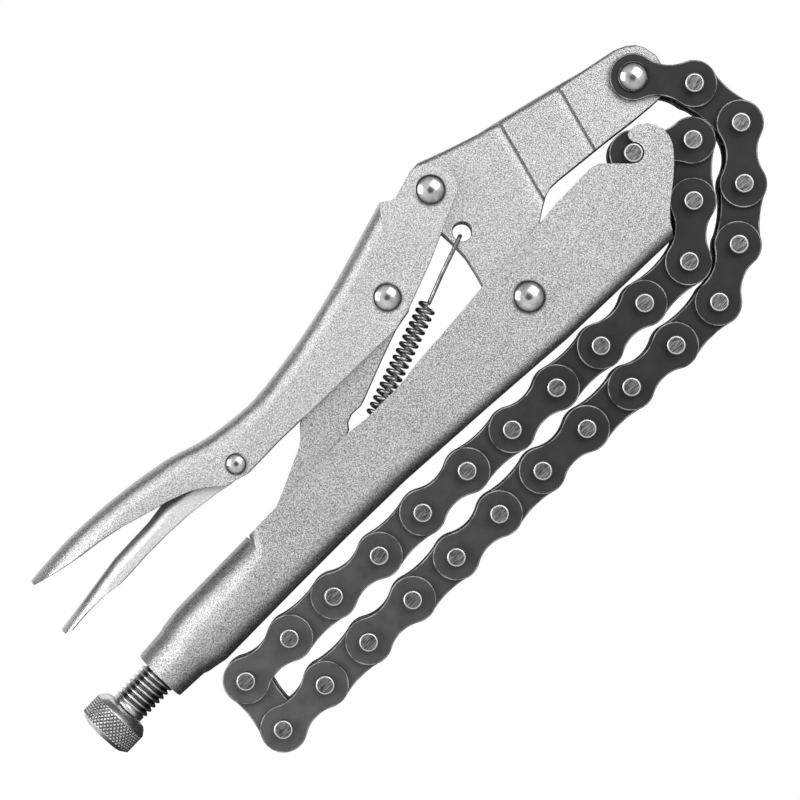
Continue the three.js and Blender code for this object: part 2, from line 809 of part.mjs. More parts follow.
const chainBore = (x) =>
  bar(
    new THREE.Vector2(x, 0),
    chainPinDiameter / 2 + chainBoreClearance,
    -overrun,
    overrun,
    pinSides,
  );

function outerLink(firstIsRivet) {
  const plates = join(
    chainPlate(outerPlateLow, outerPlateHigh, chainOuterWaist),
    chainPlate(-outerPlateHigh, -outerPlateLow, chainOuterWaist),
  );
  const pin = (x) =>
    bar(
      new THREE.Vector2(x, 0),
      chainPinDiameter / 2,
      -chainPinTop,
      chainPinTop,
      pinSides,
    );
  if (firstIsRivet)
    return cut(
      join(plates, pin(chainPitch)),
      hole(new THREE.Vector2(), shank(anchorRivetHead)),
    );
  return join(plates, pin(0), pin(chainPitch));
}

function innerLink() {
  const roller = (x) =>
    bar(
      new THREE.Vector2(x, 0),
      chainRollerDiameter / 2,
      -innerPlateLow,
      innerPlateLow,
      rollerSides,
    );
  return cut(
    join(
      chainPlate(innerPlateLow, innerPlateHigh, chainInnerWaist),
      chainPlate(-innerPlateHigh, -innerPlateLow, chainInnerWaist),
      roller(0),
      roller(chainPitch),
    ),
    chainBore(0),
    chainBore(chainPitch),
  );
}

addPiece("body", buildBody(), satinSteel);
addPiece("arm", buildArm(), satinSteel);
addPiece("handle", buildHandle(), satinSteel);
addPiece("toggle_link", buildToggleLink(), satinSteel);
addPiece("release_lever", buildLever(), satinSteel);
addPiece("body_rivet", buildRivet(armPivot, bodyRivetHead, bodyOuter), brightSteel);
addPiece(
  "handle_rivet",
  buildRivet(handlePivot, handleRivetHead, handleOuter),
  brightSteel,
);
addPiece("link_rivet", buildRivet(linkPivot, linkRivetHead, handleOuter), brightSteel);
addPiece("lever_rivet", buildRivet(leverPivot, leverRivetHead, handleOuter), brightSteel);
addPiece(
  "chain_rivet",
  buildRivet(chainAnchor, anchorRivetHead, outerPlateHigh),
  brightSteel,
);
addPiece("screw_shank", buildScrew(), brightSteel);
addPiece("screw_knob", buildKnob(), brightSteel);

const spring = buildSpring();
addPiece("spring", spring.body, springSteel);
console.log("least gap of the spring to itself, mm:", leastGap(spring.path).toFixed(2));

const linkShapes = [outerLink(true), innerLink(), outerLink(false)];
linkHeadings.forEach((heading, k) => {
  const shape = linkShapes[k === 0 ? 0 : 2 - (k % 2)];
  const piece = new THREE.Mesh(geometryOf(shape), blackSteel);
  piece.name = "chain_link_" + String(k + 1).padStart(2, "0");
  piece.position.set(linkStarts[k].x, linkStarts[k].y, 0);
  piece.rotation.z = THREE.MathUtils.degToRad(heading);
  group.add(piece);
});

// The tool rests on its rivet heads, and its frame stands at the middle of its foot.
group.updateMatrixWorld(true);
const box = new THREE.Box3().setFromObject(group, true);
const middle = box.getCenter(new THREE.Vector3());
group.position.set(-middle.x, -middle.y, -box.min.z);

export default group;
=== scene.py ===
import json
import math

import bmesh
import bpy
import numpy as np
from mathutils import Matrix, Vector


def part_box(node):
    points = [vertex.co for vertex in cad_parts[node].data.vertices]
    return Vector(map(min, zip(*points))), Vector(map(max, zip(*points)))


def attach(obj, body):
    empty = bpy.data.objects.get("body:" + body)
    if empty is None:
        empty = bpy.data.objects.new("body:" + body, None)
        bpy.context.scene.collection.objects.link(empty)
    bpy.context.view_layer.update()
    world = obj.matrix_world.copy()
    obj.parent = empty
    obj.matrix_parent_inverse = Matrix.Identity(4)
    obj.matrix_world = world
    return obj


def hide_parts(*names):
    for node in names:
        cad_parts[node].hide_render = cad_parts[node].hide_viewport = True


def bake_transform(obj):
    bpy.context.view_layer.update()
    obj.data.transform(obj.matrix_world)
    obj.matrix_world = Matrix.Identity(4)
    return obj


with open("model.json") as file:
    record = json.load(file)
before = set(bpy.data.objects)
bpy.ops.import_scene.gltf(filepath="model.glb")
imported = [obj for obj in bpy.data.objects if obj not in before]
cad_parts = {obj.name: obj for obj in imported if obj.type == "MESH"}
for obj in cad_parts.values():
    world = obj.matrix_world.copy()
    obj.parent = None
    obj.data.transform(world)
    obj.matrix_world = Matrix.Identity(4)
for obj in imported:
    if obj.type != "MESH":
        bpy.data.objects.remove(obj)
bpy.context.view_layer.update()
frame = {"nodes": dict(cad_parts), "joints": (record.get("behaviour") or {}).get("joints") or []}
scene = bpy.context.scene
scene.view_settings.view_transform = "Standard"


# ---- The bench, the camera and the light ----
# The clamp lies on its side on a pale bench. The camera hangs straight above it, turned so that
# the tool runs from the lower left to the upper right. A large soft window lights it from the
# left, and a weaker one from the upper right.
PICTURE_SCALE = 3.85                    # pixels for each millimetre at the top of the tool
PICTURE_WIDTH = 0.8 / PICTURE_SCALE     # metres seen across 800 pixels at that height
TOP_HEIGHT = 0.0275
CAMERA_TURN = math.radians(-46)
CAMERA_MIDDLE = (-0.0011, 0.0042)
CAMERA_DISTANCE = 1.15
SENSOR_WIDTH = 36
BENCH_REACH = 3
BENCH_TONE = 0.86

lens = bpy.data.cameras.new("camera")
camera = bpy.data.objects.new("camera", lens)
scene.collection.objects.link(camera)
camera.location = (*CAMERA_MIDDLE, TOP_HEIGHT + CAMERA_DISTANCE)
camera.rotation_euler = (0, 0, CAMERA_TURN)
lens.sensor_width = SENSOR_WIDTH
lens.lens = SENSOR_WIDTH * CAMERA_DISTANCE / PICTURE_WIDTH
lens.clip_start, lens.clip_end = 0.01, 20
scene.camera = camera


def new_material(name):
    """A node material: its tree, its Principled shader and a function that adds and links nodes."""
    material = bpy.data.materials.new(name)
    material.use_nodes = True
    tree = material.node_tree
    shader = tree.nodes["Principled BSDF"]

    def add(kind, inputs=None, **settings):
        node = tree.nodes.new(kind)
        for key, value in settings.items():
            setattr(node, key, value)
        for key, value in (inputs or {}).items():
            if isinstance(value, bpy.types.NodeSocket):
                tree.links.new(value, node.inputs[key])
            else:
                node.inputs[key].default_value = value
        return node

    return material, tree, shader, add


def carried(add, value, source, target):
    """A value carried in proportion from the source range to the target range, and held inside it."""
    return add("ShaderNodeMapRange", {"Value": value, "From Min": source[0], "From Max": source[1],
                                      "To Min": target[0], "To Max": target[1]}).outputs[0]


def product(add, first, second):
    """The product of two values."""
    return add("ShaderNodeMath", {0: first, 1: second}, operation="MULTIPLY").outputs[0]


def add_object(name, mesh, material):
    """Puts a mesh into the scene as an object at the origin, with its material."""
    piece = bpy.data.objects.new(name, mesh)
    scene.collection.objects.link(piece)
    mesh.materials.append(material)
    return piece


bench_corners = [(-1, -1), (1, -1), (1, 1), (-1, 1)]
bench_mesh = bpy.data.meshes.new("bench")
bench_mesh.from_pydata([(BENCH_REACH * x, BENCH_REACH * y, 0) for x, y in bench_corners], [], [(0, 1, 2, 3)])
bench_paint, tree, shader, add = new_material("bench_paint")
shader.inputs["Base Color"].default_value = (BENCH_TONE, BENCH_TONE, BENCH_TONE, 1)
shader.inputs["Roughness"].default_value = 0.9
shader.inputs["Specular IOR Level"].default_value = 0.1
rays = add("ShaderNodeLightPath")
# Mirrored in the metal, the bench is pale on the side of the window (towards +Y) and dark on the other.
seen = add("ShaderNodeSeparateXYZ", {0: add("ShaderNodeNewGeometry").outputs["Incoming"]})
side = carried(add, seen.outputs["Y"], (-0.15, 0.10), (1.0, 0.0))
steep = carried(add, seen.outputs["Z"], (0.16, 0.50), (0.0, 1.0))
glow = carried(add, product(add, side, steep), (0.0, 1.0), (0.03, 0.85))
shade = add("ShaderNodeEmission", {"Color": (1, 1, 1, 1), "Strength": glow})
mirrored = add("ShaderNodeMixShader", {0: rays.outputs["Is Glossy Ray"],
                                       1: shader.outputs[0], 2: shade.outputs[0]})
white = add("ShaderNodeEmission", {"Color": (1, 1, 1, 1), "Strength": 1.0})
mixed = add("ShaderNodeMixShader", {0: rays.outputs["Is Camera Ray"],
                                    1: mirrored.outputs[0], 2: white.outputs[0]})
tree.links.new(mixed.outputs[0], tree.nodes["Material Output"].inputs["Surface"])
bench = add_object("bench", bench_mesh, bench_paint)


def soft_lamp(name, place, aim, size, watts):
    """A square area lamp that shines from one place towards another."""
    light = bpy.data.lights.new(name, "AREA")
    light.size = size
    light.energy = watts
    lamp = bpy.data.objects.new(name, light)
    scene.collection.objects.link(lamp)
    away = np.array(place) - np.array(aim)
    flat = math.hypot(away[0], away[1])
    lamp.location = place
    lamp.rotation_euler = (math.atan2(flat, away[2]), 0, math.atan2(away[1], away[0]) + math.pi / 2)


# The picture's left is (-0.69, 0.72) and its top is (0.72, 0.69) in the tool's own frame.
soft_lamp("window", (-0.62, 0.86, 0.95), (0, 0, 0), 0.8, 6.6)
soft_lamp("far_window", (0.66, 0.08, 1.10), (0, 0, 0), 0.7, 3.6)

# The room is dark at the horizon and pale above, with a dark patch overhead where the camera hangs.
ROOM_TONES = [(0.2, 0.03), (0.85, 0.86), (0.972, 0.86), (0.984, 0.10)]      # height, tone
ROOM_STRENGTH = 0.82
room = bpy.data.worlds.new("room")
room.use_nodes = True
scene.world = room
sky = room.node_tree
direction = sky.nodes.new("ShaderNodeTexCoord")
height = sky.nodes.new("ShaderNodeSeparateXYZ")
sky.links.new(direction.outputs["Generated"], height.inputs[0])
ramp = sky.nodes.new("ShaderNodeValToRGB")
sky.links.new(height.outputs["Z"], ramp.inputs[0])
tones = ramp.color_ramp.elements
tones[0].position, tones[1].position = ROOM_TONES[0][0], ROOM_TONES[1][0]
for position, _ in ROOM_TONES[2:]:
    tones.new(position)
for tone, (_, value) in zip(tones, ROOM_TONES):
    tone.color = (value, value, value, 1)
sky.links.new(ramp.outputs[0], sky.nodes["Background"].inputs["Color"])
sky.nodes["Background"].inputs["Strength"].default_value = ROOM_STRENGTH


# ---- The body ----
# The fixed jaw and frame of the tool: one steel blank folded into a channel round the screw,
# closed to a tube at the back and sandblasted to a fine satin grain. Its nose holds the hook.
TOOL_MIDDLE = 0.014984          # height of the tool's middle plane above the bench
FOLD_FADE = 0.024               # the length over which a folded edge's round dies away at its end


def noise(add, where, scale, detail, roughness):
    """A noise from 0 to 1, with its scale in waves for each metre."""
    return add("ShaderNodeTexNoise", {"Vector": where, "Scale": scale,
                                      "Detail": detail, "Roughness": roughness}).outputs["Fac"]


def grey(add, value):
    """A colour with the same red, green and blue."""
    return add("ShaderNodeCombineColor", {"Red": value, "Green": value, "Blue": value}).outputs[0]


def bumps(add, height, strength, distance):
    """The normal of a surface that rises with the height."""
    return add("ShaderNodeBump", {"Height": height, "Strength": strength, "Distance": distance}).outputs[0]


def dress(tree, shader, metallic, sockets):
    """Links node outputs to the shader's sockets of these names, and sets how metallic it is."""
    for key, value in sockets.items():
        tree.links.new(value, shader.inputs[key])
    shader.inputs["Metallic"].default_value = metallic


def satin_steel(name, tone, depth=0.68, grain=3700, roughness=0.39, grit=0.0001, mottle=0.05):
    """Sandblasted steel: a fine grain as bump, gloss and change of tone, over faint clouds. The grain is
    turned aslant, so that no flat face lies along the noise's own grid."""
    material, tree, shader, add = new_material(name)
    where = add("ShaderNodeTexCoord").outputs["Object"]
    aslant = add("ShaderNodeMapping", {"Vector": where, "Rotation": (0.5, 0.7, 0.2)}).outputs["Vector"]
    fine = noise(add, aslant, grain, 2.0, 0.6)
    cloud = noise(add, where, 55.0, 3.0, 0.55)
    light = carried(add, fine, (0.38, 0.62), (tone * (1 - depth), min(tone * (1 + depth), 1.0)))
    shade = carried(add, cloud, (0.3, 0.7), (1 - mottle, 1 + mottle))
    dress(tree, shader, 1.0, {
        "Base Color": grey(add, product(add, light, shade)),
        "Roughness": carried(add, fine, (0.3, 0.7), (roughness - 0.07, roughness + 0.09)),
        "Normal": bumps(add, fine, 0.8, grit),
    })
    return material


def near_line(point, line, reach=0.0007, height=0.004):
    """Whether a point lies near a line of points seen from above, and well away from the middle plane."""
    here = np.array([point.x, point.y])
    start, run = line[:-1], line[1:] - line[:-1]
    along = np.clip(((here - start) * run).sum(axis=1) / (run ** 2).sum(axis=1), 0, 1)
    away = np.linalg.norm(here - start - along[:, None] * run, axis=1).min()
    return away < reach and abs(point.z - TOOL_MIDDLE) > height


def rounded_copy(node, name, material, edge, fold=None, fold_round=0.0, angle=34):
    """A closed copy of a pressed piece: one skin with its flat faces joined and each sharp edge rounded,
    and rounded more along a fold, the level edges near a line seen from above."""
    mesh = bpy.data.meshes.new(name)
    skin = bmesh.new()
    skin.from_mesh(frame["nodes"][node].data)
    bmesh.ops.remove_doubles(skin, verts=skin.verts, dist=2e-6)
    bmesh.ops.dissolve_limit(skin, angle_limit=math.radians(0.5), verts=skin.verts, edges=skin.edges)
    for face in skin.faces:
        face.smooth = True
    weight = skin.edges.layers.float.new("bevel_weight_edge")
    widest = max(edge, fold_round)
    for side in skin.edges:
        if len(side.link_faces) == 2 and side.calc_face_angle() > math.radians(angle):
            side[weight] = edge / widest
            if fold is not None and all(near_line(corner.co, fold) for corner in side.verts):
                to_end = np.hypot(*(np.array(side.verts[0].co[:2]) - fold[-1]))
                side[weight] = (edge + (fold_round - edge) * min(to_end / FOLD_FADE, 1)) / widest
    skin.to_mesh(mesh)
    skin.free()
    mesh.materials.clear()
    piece = add_object(name, mesh, material)
    bevel = piece.modifiers.new("rounded_edges", "BEVEL")
    bevel.width = widest
    bevel.segments = 3 if fold is None else 6
    bevel.limit_method = "WEIGHT"
    bevel.use_clamp_overlap = fold is None
    normals = piece.modifiers.new("flat_faces", "WEIGHTED_NORMAL")
    normals.keep_sharp = True
    normals.weight = 50
    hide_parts(node)
    return piece


body_steel = satin_steel("blasted_body_steel", 0.56)
body = rounded_copy("body", "channel_body", body_steel, 0.00045)
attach(body, "body")


# ---- The arm ----
# The moving jaw: folded along its upper edge, with two bends that bring its cheeks together
# at the tip, where the chain is riveted on. It turns on the rivet in the body.
arm_steel = satin_steel("blasted_arm_steel", 0.60, 0.62)
hinges = {joint["name"]: np.array(joint["pos_m"]) for joint in frame["joints"] if "pos_m" in joint}
tool_origin = hinges["knob_turn"][:2]
# The folded edge as points seen from above, from the tool's origin.
ARM_FOLD = [
    (0.1425, 0.0444), (0.1500, 0.0418), (0.1594, 0.0385), (0.1675, 0.0366), (0.1809, 0.0330),
    (0.1904, 0.0303), (0.2002, 0.0281), (0.2031, 0.0267), (0.2050, 0.0252), (0.2063, 0.0229),
]
ARM_FOLD_ROUND = 0.0021
arm = rounded_copy("arm", "jaw_arm", arm_steel, 0.0004, tool_origin + np.array(ARM_FOLD),
                   ARM_FOLD_ROUND, angle=25)
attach(arm, "arm")


# ---- The handle, the toggle link and the release lever ----
# The upper handle is a folded channel that tapers to a curved tail. The toggle link joins it
# to the screw's point, and the small lever under it knocks the toggle off its dead centre.
handle_steel = satin_steel("blasted_handle_steel", 0.71, 0.58)
handle = rounded_copy("handle", "upper_handle", handle_steel, 0.0004)
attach(handle, "handle")

link_steel = satin_steel("blasted_link_steel", 0.52)
toggle = rounded_copy("toggle_link", "toggle", link_steel, 0.0004)
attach(toggle, "toggle_link")

lever_steel = satin_steel("blasted_lever_steel", 0.95, 0.30)
lever = rounded_copy("release_lever", "lever", lever_steel, 0.0003)
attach(lever, "release_lever")


# ---- The rivets ----
# Five steel rivets with polished domes hold the pressed pieces together. Each is turned on
# its own axis and headed over a plain shank that passes through both walls.
DOME_RISE_SHARE = 0.24
DOME_TIP = 0.00004              # radius of the small flat on top of the dome
SHANK_SHARE = 0.3
SEAT_GAP = 0.0003               # from the wall to the widest ring of the head
HEAD_EDGE = 0.0001
# node, body, pivot, head diameter, height of the wall it sits on
RIVETS = [
    ("body_rivet", "body", hinges["arm_opening"], 0.0091, 0.0125),
    ("handle_rivet", "handle", hinges["handle_opening"], 0.0084, 0.0121),
    ("link_rivet", "handle", hinges["toggle_fold"], 0.0080, 0.0121),
    ("lever_rivet", "handle", hinges["release_lever_press"], 0.0059, 0.0121),
    ("chain_rivet", "arm", hinges["chain_pin_01"], 0.0083, 0.00898),
]


def skin_of_rings(rings):
    """Points, faces and their smoothness for rings (steps, points, 3) joined in order, with a flat face on
    each end. The faces look out: their signed volume is made positive."""
    steps, around = rings.shape[:2]
    corner = np.arange(steps * around).reshape(steps, around)
    after = np.roll(corner, -1, axis=1)
    quads = np.stack([corner[:-1], after[:-1], after[1:], corner[1:]], axis=-1).reshape(-1, 4)
    points = rings.reshape(-1, 3)
    a, b, c, d = (points[quads[:, k]] for k in range(4))
    volume = np.einsum("ij,ij->i", a, np.cross(b, c)) + np.einsum("ij,ij->i", a, np.cross(c, d))
    faces = quads.tolist() + [corner[0][::-1].tolist(), corner[-1].tolist()]
    if volume.sum() < 0:
        faces = [face[::-1] for face in faces]
    smooth = [True] * len(quads) + [False] * 2
    return points, faces, smooth


def join_skins(name, skins, attributes=None, slots=None):
    """One mesh from closed skins, with an optional number on each point and a material slot on each skin."""
    mesh = bpy.data.meshes.new(name)
    points, faces, smooth, slot = [], [], [], []
    start = 0
    for k, (skin_points, skin_faces, skin_smooth) in enumerate(skins):
        points.append(skin_points)
        faces += [[start + corner for corner in face] for face in skin_faces]
        smooth += skin_smooth
        slot += [slots[k] if slots else 0] * len(skin_faces)
        start += len(skin_points)
    mesh.from_pydata(np.concatenate(points).tolist(), [], faces)
    mesh.polygons.foreach_set("use_smooth", smooth)
    mesh.polygons.foreach_set("material_index", slot)
    for key, values in (attributes or {}).items():
        layer = mesh.attributes.new(key, "FLOAT", "POINT")
        layer.data.foreach_set("value", np.concatenate(values).astype(np.float32))
    mesh.update()
    return mesh


def turned_rings(profile, around, centre):
    """Rings of a piece turned on an upright axis: each (radius, height) of the profile becomes a circle."""
    turn = np.linspace(0, 2 * math.pi, around, endpoint=False)
    circle = np.stack([np.cos(turn), np.sin(turn), np.zeros(around)], axis=1)
    radius, height = np.array(profile, float).T
    return np.array(centre) + radius[:, None, None] * circle + height[:, None, None] * np.array([0, 0, 1.0])


def rivet_profile(head, wall):
    """Outline of a rivet: a dome that follows a quarter wave, a thin edge and the shank, mirrored below."""
    turn = np.linspace(0, math.pi / 2, 12)
    seat = wall + SEAT_GAP
    dome = np.stack([head / 2 * np.sin(turn), seat + DOME_RISE_SHARE * head * np.cos(turn)], axis=1)
    dome[0, 0] = DOME_TIP
    under = [[head / 2 - HEAD_EDGE, seat - HEAD_EDGE], [SHANK_SHARE * head, seat - HEAD_EDGE]]
    upper = np.concatenate([dome, under])
    return np.concatenate([upper, (upper * [1, -1])[::-1]])


def polished_steel(name, tone, roughness, mottle, size=420.0, hollow=None):
    """Polished steel with faint tarnish: a soft cloud changes its tone and gloss. An attribute that is 0 in
    the bottom of a groove and 1 on its crest paints shade into the grooves, down to the hollow share of the
    tone."""
    material, tree, shader, add = new_material(name)
    where = add("ShaderNodeTexCoord").outputs["Object"]
    cloud = noise(add, where, size, 4.0, 0.65)
    light = carried(add, cloud, (0.38, 0.62), (tone * (1 - mottle), tone))
    # Painted shade: the colour is darkened towards the bottom of each groove.
    if hollow is not None:
        crest = add("ShaderNodeAttribute", attribute_name="crest")
        light = product(add, light, carried(add, crest.outputs["Fac"], (0.0, 1.0), (hollow, 1.0)))
    dress(tree, shader, 1.0, {
        "Base Color": grey(add, light),
        "Roughness": carried(add, cloud, (0.35, 0.65), (roughness * 1.6, roughness)),
        "Normal": bumps(add, cloud, 0.35, 0.00008),
    })
    return material


rivet_steel = polished_steel("polished_rivet_steel", 0.84, 0.13, 0.45, 300.0)
for node, carrier, pivot, head, wall in RIVETS:
    rings = turned_rings(rivet_profile(head, wall), 64, (pivot[0], pivot[1], TOOL_MIDDLE))
    rivet = add_object(node + "_head", join_skins(node + "_head", [skin_of_rings(rings)]), rivet_steel)
    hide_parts(node)
    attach(rivet, carrier)


# ---- The adjusting screw and its knob ----
# A steel screw cut with a rounded thread sets the opening of the jaws. Its collar ends in a
# knob that is turned, chamfered at both ends and knurled in crossed grooves for grip.
SCREW_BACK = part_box("screw_shank")[0].x
SCREW_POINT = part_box("screw_shank")[1].x
SCREW_PLACE = (hinges["knob_turn"][1], TOOL_MIDDLE)
THREAD_PITCH = 0.00155
THREAD_RADIUS = 0.005
THREAD_DEPTH = 0.0008
THREAD_TURNS = 17               # more than the travel draws out of the tube
COLLAR_RADIUS = 0.0047
COLLAR_LENGTH = 0.0016
COLLAR_CHAMFER = 0.0002
POINT_CHAMFER = 0.0015


def around_screw(x, radius, turn):
    """Rings round the screw's axis: one for each x, with a radius for each of its points."""
    y = SCREW_PLACE[0] + radius * np.cos(turn)
    z = SCREW_PLACE[1] + radius * np.sin(turn)
    return np.stack([np.broadcast_to(x[:, None], y.shape), y, z], axis=-1)


def threaded_rings(back, point, around=72, per_turn=14):
    """Rings of the screw: the radius waves along the axis once a pitch, and the wave turns with the angle.
    The wave is stretched and cut off, which leaves a narrow flat on the crest and the root."""
    start = back + COLLAR_LENGTH
    end = start + THREAD_TURNS * THREAD_PITCH
    x = np.concatenate([[back, back + COLLAR_CHAMFER, start - COLLAR_CHAMFER, start],
                        np.linspace(start + 0.0001, end, THREAD_TURNS * per_turn),
                        [point - POINT_CHAMFER, point]])
    turn = np.linspace(0, 2 * math.pi, around, endpoint=False)
    wave = 0.5 + 0.5 * np.cos(2 * math.pi * (x[:, None] - start) / THREAD_PITCH - turn[None, :])
    root = THREAD_RADIUS - THREAD_DEPTH
    radius = root + THREAD_DEPTH * np.clip(wave * 1.25 - 0.1, 0, 1)
    fade = np.clip((end - x) / THREAD_PITCH, 0, 1)[:, None]
    radius = root + (radius - root) * fade
    radius[0] = COLLAR_RADIUS - COLLAR_CHAMFER
    radius[1:3] = COLLAR_RADIUS
    radius[3] = root
    radius[-1] = root - POINT_CHAMFER
    crest = np.clip((radius - root) / THREAD_DEPTH, 0, 1)
    crest[:3], crest[-2:] = 1, 0.5
    return around_screw(x, radius, turn), crest.ravel()


# The thread's roots get painted shade, down to 0.16 of the tone.
screw_steel = polished_steel("bright_screw_steel", 0.95, 0.2, 0.25, hollow=0.16)
screw_rings, screw_crest = threaded_rings(SCREW_BACK, SCREW_POINT)
screw_mesh = join_skins("adjusting_screw", [skin_of_rings(screw_rings)], {"crest": [screw_crest]})
screw = add_object("adjusting_screw", screw_mesh, screw_steel)
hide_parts("screw_shank")
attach(screw, "screw")

KNOB_RADIUS = 0.008
KNOB_CHAMFER = 0.0012
KNOB_FRONT_CHAMFER = 0.0021
# distance from the back or the front face and the radius there, at each smooth end
KNOB_REAR = [(0, 0.0002), (0, 0.0059), (0.0002, 0.0065), (0.0011, 0.0078)]
KNOB_FORE = [(0.0019, 0.0079), (0.0007, 0.0070), (0.0002, 0.0064), (0, 0.0056), (0, 0.0002)]
KNURL_TEETH = 42
KNURL_DEPTH = 0.00055
KNURL_LEAD = 1.15               # a diamond's length for its width
KNURL_STEEPNESS = 2.1
KNURL_FADE = 0.0003             # over which the grooves run out at both ends


def knurled_rings(back, front, around=504, along=72):
    """Rings of the knob: two sets of grooves wind left and right round it, and the deeper groove counts."""
    run = np.linspace(back + KNOB_CHAMFER, front - KNOB_FRONT_CHAMFER, along)
    turn = np.linspace(0, 2 * math.pi, around, endpoint=False)
    step = 2 * math.pi * KNOB_RADIUS / KNURL_TEETH * KNURL_LEAD
    phase = KNURL_TEETH * turn[None, :] / (2 * math.pi)
    lift = (run[:, None] - back) / step
    left = np.abs((phase + lift) % 1 - 0.5) * 2
    right = np.abs((phase - lift) % 1 - 0.5) * 2
    diamond = np.clip(np.minimum(1 - left, 1 - right) * KNURL_STEEPNESS, 0, 1)
    edge = np.clip(np.minimum(run - run[0], run[-1] - run) / KNURL_FADE, 0, 1)[:, None]
    groove = (1 - diamond) * edge
    x = np.concatenate([[back + d for d, _ in KNOB_REAR], run, [front - d for d, _ in KNOB_FORE]])
    rear, fore = (np.outer([radius for _, radius in ends], np.ones(around))
                  for ends in (KNOB_REAR, KNOB_FORE))
    radius = np.concatenate([rear, KNOB_RADIUS - KNURL_DEPTH * groove, fore])
    crest = np.concatenate([np.ones_like(rear), 1 - groove, np.ones_like(fore)])
    return around_screw(x, radius, turn), crest.ravel()


# The knurl's grooves get painted shade, down to 0.20 of the tone.
knob_steel = polished_steel("plated_knob_steel", 0.95, 0.24, 0.25, hollow=0.20)
knob_rings, knob_crest = knurled_rings(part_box("screw_knob")[0].x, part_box("screw_knob")[1].x)
knob_mesh = join_skins("knurled_knob", [skin_of_rings(knob_rings)], {"crest": [knob_crest]})
knob = add_object("knurled_knob", knob_mesh, knob_steel)
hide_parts("screw_knob")
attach(knob, "knob")


# ---- The spring ----
# A close-wound extension spring of dark wire pulls the arm open. Its straight upper end hooks
# through a hole in the arm, and its lower end is caught on a tab inside the body.
SPRING_WIRE = 0.0011
SPRING_COIL = 0.0052
SPRING_CURLS = 17
SPRING_CURL_PITCH = 0.00195
SPRING_LIFT = 0.0063            # the coil's axis above the tool's middle plane
SPRING_OVER = 0.01005           # the straight wire above the middle plane, over the arm's cheek
HOOK_SETBACK = 0.0013           # from the middle of the hole towards the coil
HOOK_FOOT = 0.0064              # the hook's lower end above the middle plane
HOOK_BEND = 0.0010
STRAIGHT_SHARE = 0.55           # share of the way to the coil on which the wire stays level
COIL_LEAD, COIL_LEAD_RISE = 0.0012, 0.0003      # where the wire comes down to the coil
TAIL_RUN, TAIL_END, TAIL_DROP = 0.0011, 0.0020, 0.0012
spring_hole = tool_origin + np.array([0.13850, 0.02360])
coil_top = tool_origin + np.array([0.11873, 0.01680])
spring_run = np.array([-0.025123, -0.008308])
spring_run = np.append(spring_run / np.hypot(*spring_run), 0)
up = np.array([0, 0, 1.0])


def tube_skin(path, across, around=12):
    """A wire along a path: a circle round each point, square to the path and set off from one direction."""
    ahead = np.gradient(path, axis=0)
    ahead /= np.linalg.norm(ahead, axis=1)[:, None]
    first = across - (ahead @ across)[:, None] * ahead
    first /= np.linalg.norm(first, axis=1)[:, None]
    second = np.cross(ahead, first)
    turn = np.linspace(0, 2 * math.pi, around, endpoint=False)[None, :, None]
    circle = np.cos(turn) * first[:, None, :] + np.sin(turn) * second[:, None, :]
    return skin_of_rings(path[:, None, :] + SPRING_WIRE / 2 * circle)


def coil_path(steps=28):
    """Points of the coil: a circle square to its run that moves on by one pitch each turn, from its top."""
    turns = np.arange(SPRING_CURLS * steps + 1) / steps
    side = np.cross(spring_run, up)
    start = np.append(coil_top, TOOL_MIDDLE + SPRING_LIFT)
    radius = (SPRING_COIL - SPRING_WIRE) / 2
    return (start + turns[:, None] * SPRING_CURL_PITCH * spring_run
            + radius * np.cos(2 * math.pi * turns)[:, None] * up
            + radius * np.sin(2 * math.pi * turns)[:, None] * side)


coil = coil_path()
hook_at = np.append(spring_hole, 0) + HOOK_SETBACK * spring_run
hook_top = hook_at + up * (TOOL_MIDDLE + SPRING_OVER)
bend = np.linspace(0, math.pi / 2, 9)[:, None]
hook_path = np.concatenate([
    [hook_at + up * (TOOL_MIDDLE + HOOK_FOOT)],
    hook_top + HOOK_BEND * (1 - np.cos(bend)) * spring_run + HOOK_BEND * (np.sin(bend) - 1) * up,
    [hook_top + STRAIGHT_SHARE * np.linalg.norm(coil_top - hook_at[:2]) * spring_run],
    [coil[0] - COIL_LEAD * spring_run + COIL_LEAD_RISE * up],
    [coil[0]],
])
tail_path = np.array([coil[-1], coil[-1] + TAIL_RUN * spring_run,
                      coil[-1] + TAIL_END * spring_run - TAIL_DROP * up])
wire_side = np.cross(spring_run, up)
wires = [tube_skin(coil, spring_run), tube_skin(hook_path, wire_side), tube_skin(tail_path, wire_side)]
spring_steel = polished_steel("oiled_spring_steel", 0.55, 0.2, 0.6)
spring = add_object("arm_spring", join_skins("arm_spring", wires), spring_steel)
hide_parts("spring")
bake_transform(spring)


# ---- The roller chain ----
# Twenty-nine links of black steel roller chain. Outer links are two dumbbell plates pressed on
# two pins, inner links are two plates on bushes with rollers between them, taking turns.
CHAIN_PITCH = 0.015875
PLATE_END = 0.0062
OUTER_WAIST = 0.0041
INNER_WAIST = 0.0052
OUTER_LOW, OUTER_HIGH = 0.00695, 0.00898
INNER_LOW, INNER_HIGH = 0.00477, 0.00680
PLATE_RIM = 0.00022
RIM_HIGHLIGHT_WIDTH = 0.00030            # the ring of painted highlight inside the rim
PLATE_SHINE = [0, 0.75, 1, 1, 0.5, 0.2]         # painted highlight from the face over the rim to the side
PIN_RADIUS = 0.002545
PIN_TOP = 0.0129
PIN_BEVEL = 0.00038
PIN_SHINE = [0, 1, 1, 1, 0.6]                   # painted highlight from the cap over the bevel to the side
ROLLER_RADIUS = 0.00508
ROLLER_BEVEL = 0.0004
# Degrees each link is turned, from the arm's tip round to the hook.
LINK_HEADINGS = [
    -52.5, -86.3, -132.9, -141, -154.8, -180.9, 177.1, 177.1, 177.6, 179, 179.1, 178.3, 177.8, 178.6, 180.8,
    81.8, -1.5, -2.5, -4.1, -1.4, -2.7, -3.6, -2.6, -2.5, -1.7, -3, 39.9, 44.7, 146.6,
]
# Runs of links whose pins stay still, each carried by one body.
LINK_RUNS = {"chain_bend": (3, 4), "chain_lower": (5, 15), "chain_upper": (17, 27)}


